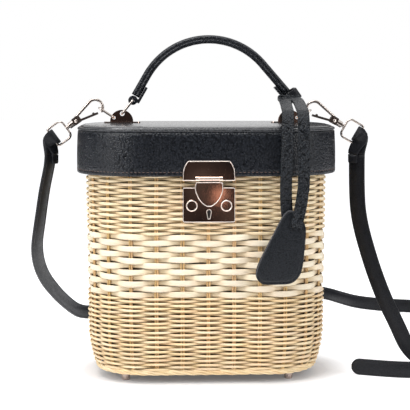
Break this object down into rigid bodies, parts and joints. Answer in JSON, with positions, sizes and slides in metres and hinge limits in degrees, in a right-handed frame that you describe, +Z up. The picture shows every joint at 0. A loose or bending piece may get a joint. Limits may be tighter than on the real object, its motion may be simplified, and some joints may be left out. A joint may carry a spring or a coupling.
{
  "type": "basket box bag",
  "caption": "Woven reed box bag with a hinged leather lid, a front turn-down clasp, a rolled handle, a clip-on shoulder strap and a hanging leather fob.",
  "frame": {"origin": "centre of the base, on the surface that the bag stands on", "axes": "+Z up, -Y towards the clasp, +X to the right of a person who faces the clasp"},
  "size_m": [0.4697, 0.4254, 0.2819],
  "materials": {
    "leather_black": "pebbled grain, satin",
    "metal_rose": "mirror rose gold plating",
    "reed": "natural reed, matte",
    "reed_pale": "flat peeled reed, matte",
    "board": "plain board",
    "lining_cloth": "plain woven cloth"
  },
  "bodies": {
    "basket": {"foot_front_left": "metal_rose", "foot_front_right": "metal_rose", "foot_back_left": "metal_rose", "foot_back_right": "metal_rose", "base_board": "board", "foot_screws": "metal_rose", "foot_border": "reed", "rim": "reed", "weave_lower": "reed", "weave_middle": "reed_pale", "weave_upper": "reed", "stakes": "reed", "lining": "lining_cloth", "lock_case": "metal_rose", "hinge_leaf_basket_left": "metal_rose", "hinge_leaf_basket_right": "metal_rose", "hinge_pins": "metal_rose", "hinge_blocks": "board", "strap_left_fall": "leather_black", "strap_floor": "leather_black", "strap_right_fall": "leather_black", "buckle_frame": "metal_rose", "buckle_fold": "leather_black", "strap_keeper": "leather_black"},
    "lid": {"lid_band": "leather_black", "lid_piping": "leather_black", "lid_panel": "leather_black", "lid_board": "board", "lid_ledge": "board", "lid_lining": "lining_cloth", "hasp_plate": "metal_rose", "hasp_pin": "metal_rose", "hinge_leaf_lid_left": "metal_rose", "hinge_leaf_lid_right": "metal_rose", "lug_left": "metal_rose", "lug_right": "metal_rose", "swivel_loop_left": "metal_rose", "swivel_loop_right": "metal_rose", "strap_end_left": "leather_black", "strap_end_right": "leather_black"},
    "handle": {"handle_grip": "leather_black", "handle_loop_left": "leather_black", "handle_loop_right": "leather_black", "handle_ring_left": "metal_rose", "handle_ring_right": "metal_rose"},
    "hasp": {"hasp": "metal_rose"},
    "d_ring_left": {"strap_ring_left": "metal_rose"},
    "d_ring_right": {"strap_ring_right": "metal_rose"},
    "hook_left": {"hook_left": "metal_rose"},
    "hook_right": {"hook_right": "metal_rose"},
    "gate_left": {"gate_left": "metal_rose"},
    "gate_right": {"gate_right": "metal_rose"},
    "bolt_left": {"bolt_left": "metal_rose"},
    "bolt_right": {"bolt_right": "metal_rose"},
    "fob_band": {"fob_hitch": "leather_black"},
    "fob": {"fob_strands": "leather_black", "fob_tag_front": "leather_black", "fob_tag_back": "leather_black"},
    "prong": {"buckle_prong": "metal_rose"}
  },
  "joints": [
    {"name": "lid_open", "type": "hinge", "parent": "basket", "child": "lid", "pos_m": [0, 0.0724, 0.167], "axis": [1, 0, 0], "range_deg": [-100, 0]},
    {"name": "handle_tilt", "type": "hinge", "parent": "lid", "child": "handle", "pos_m": [0, 0, 0.217], "axis": [1, 0, 0], "range_deg": [-16, 16]},
    {"name": "hasp_flip", "type": "hinge", "parent": "lid", "child": "hasp", "pos_m": [0, -0.0718, 0.168], "axis": [1, 0, 0], "range_deg": [-110, 0]},
    {"name": "strap_ring_left_turn", "type": "hinge", "parent": "lid", "child": "d_ring_left", "pos_m": [-0.0763, 0, 0.2136], "axis": [0, 1, 0], "range_deg": [-10, 4]},
    {"name": "strap_ring_right_turn", "type": "hinge", "parent": "lid", "child": "d_ring_right", "pos_m": [0.0763, 0, 0.2136], "axis": [0, 1, 0], "range_deg": [-6, 12]},
    {"name": "hook_left_swivel", "type": "hinge", "parent": "lid", "child": "hook_left", "pos_m": [-0.1078, 0, 0.2109], "axis": [0.809, 0, 0.5878], "range_deg": [-15, 15]},
    {"name": "hook_right_swivel", "type": "hinge", "parent": "lid", "child": "hook_right", "pos_m": [0.1078, 0, 0.2109], "axis": [-0.866, 0, 0.5], "range_deg": [-15, 15]},
    {"name": "gate_left_open", "type": "hinge", "parent": "hook_left", "child": "gate_left", "pos_m": [-0.1058, 0, 0.21087], "axis": [0, 1, 0], "range_deg": [-18, 0], "stiffness_Nm_per_rad": 0.02, "springref_deg": 11.46},
    {"name": "gate_right_open", "type": "hinge", "parent": "hook_right", "child": "gate_right", "pos_m": [0.10581, 0, 0.21066], "axis": [0, 1, 0], "range_deg": [0, 18], "stiffness_Nm_per_rad": 0.02, "springref_deg": -11.46},
    {"name": "bolt_left_slide", "type": "slide", "parent": "basket", "child": "bolt_left", "axis": [-1, 0, 0], "range_m": [0, 0.0025], "stiffness_N_per_m": 300, "springref_m": -0.002},
    {"name": "bolt_right_slide", "type": "slide", "parent": "basket", "child": "bolt_right", "axis": [1, 0, 0], "range_m": [0, 0.0025], "stiffness_N_per_m": 300, "springref_m": -0.002},
    {"name": "fob_band_level", "type": "hinge", "parent": "handle", "child": "fob_band", "pos_m": [0.0708, 0, 0.2309], "axis": [1, 0, 0], "range_deg": [-16, 16]},
    {"name": "fob_swing", "type": "hinge", "parent": "fob_band", "child": "fob", "pos_m": [0.0708, 0, 0.2309], "axis": [0, 1, 0], "range_deg": [-12, 12]},
    {"name": "prong_turn", "type": "hinge", "parent": "basket", "child": "prong", "pos_m": [0.21808, -0.04631, 0.0091], "axis": [0, 0, 1], "range_deg": [-7, 0]}
  ],
  "couplings": [
    {"joint": "fob_band_level", "follows": "handle_tilt", "ratio": -1}
  ]
}
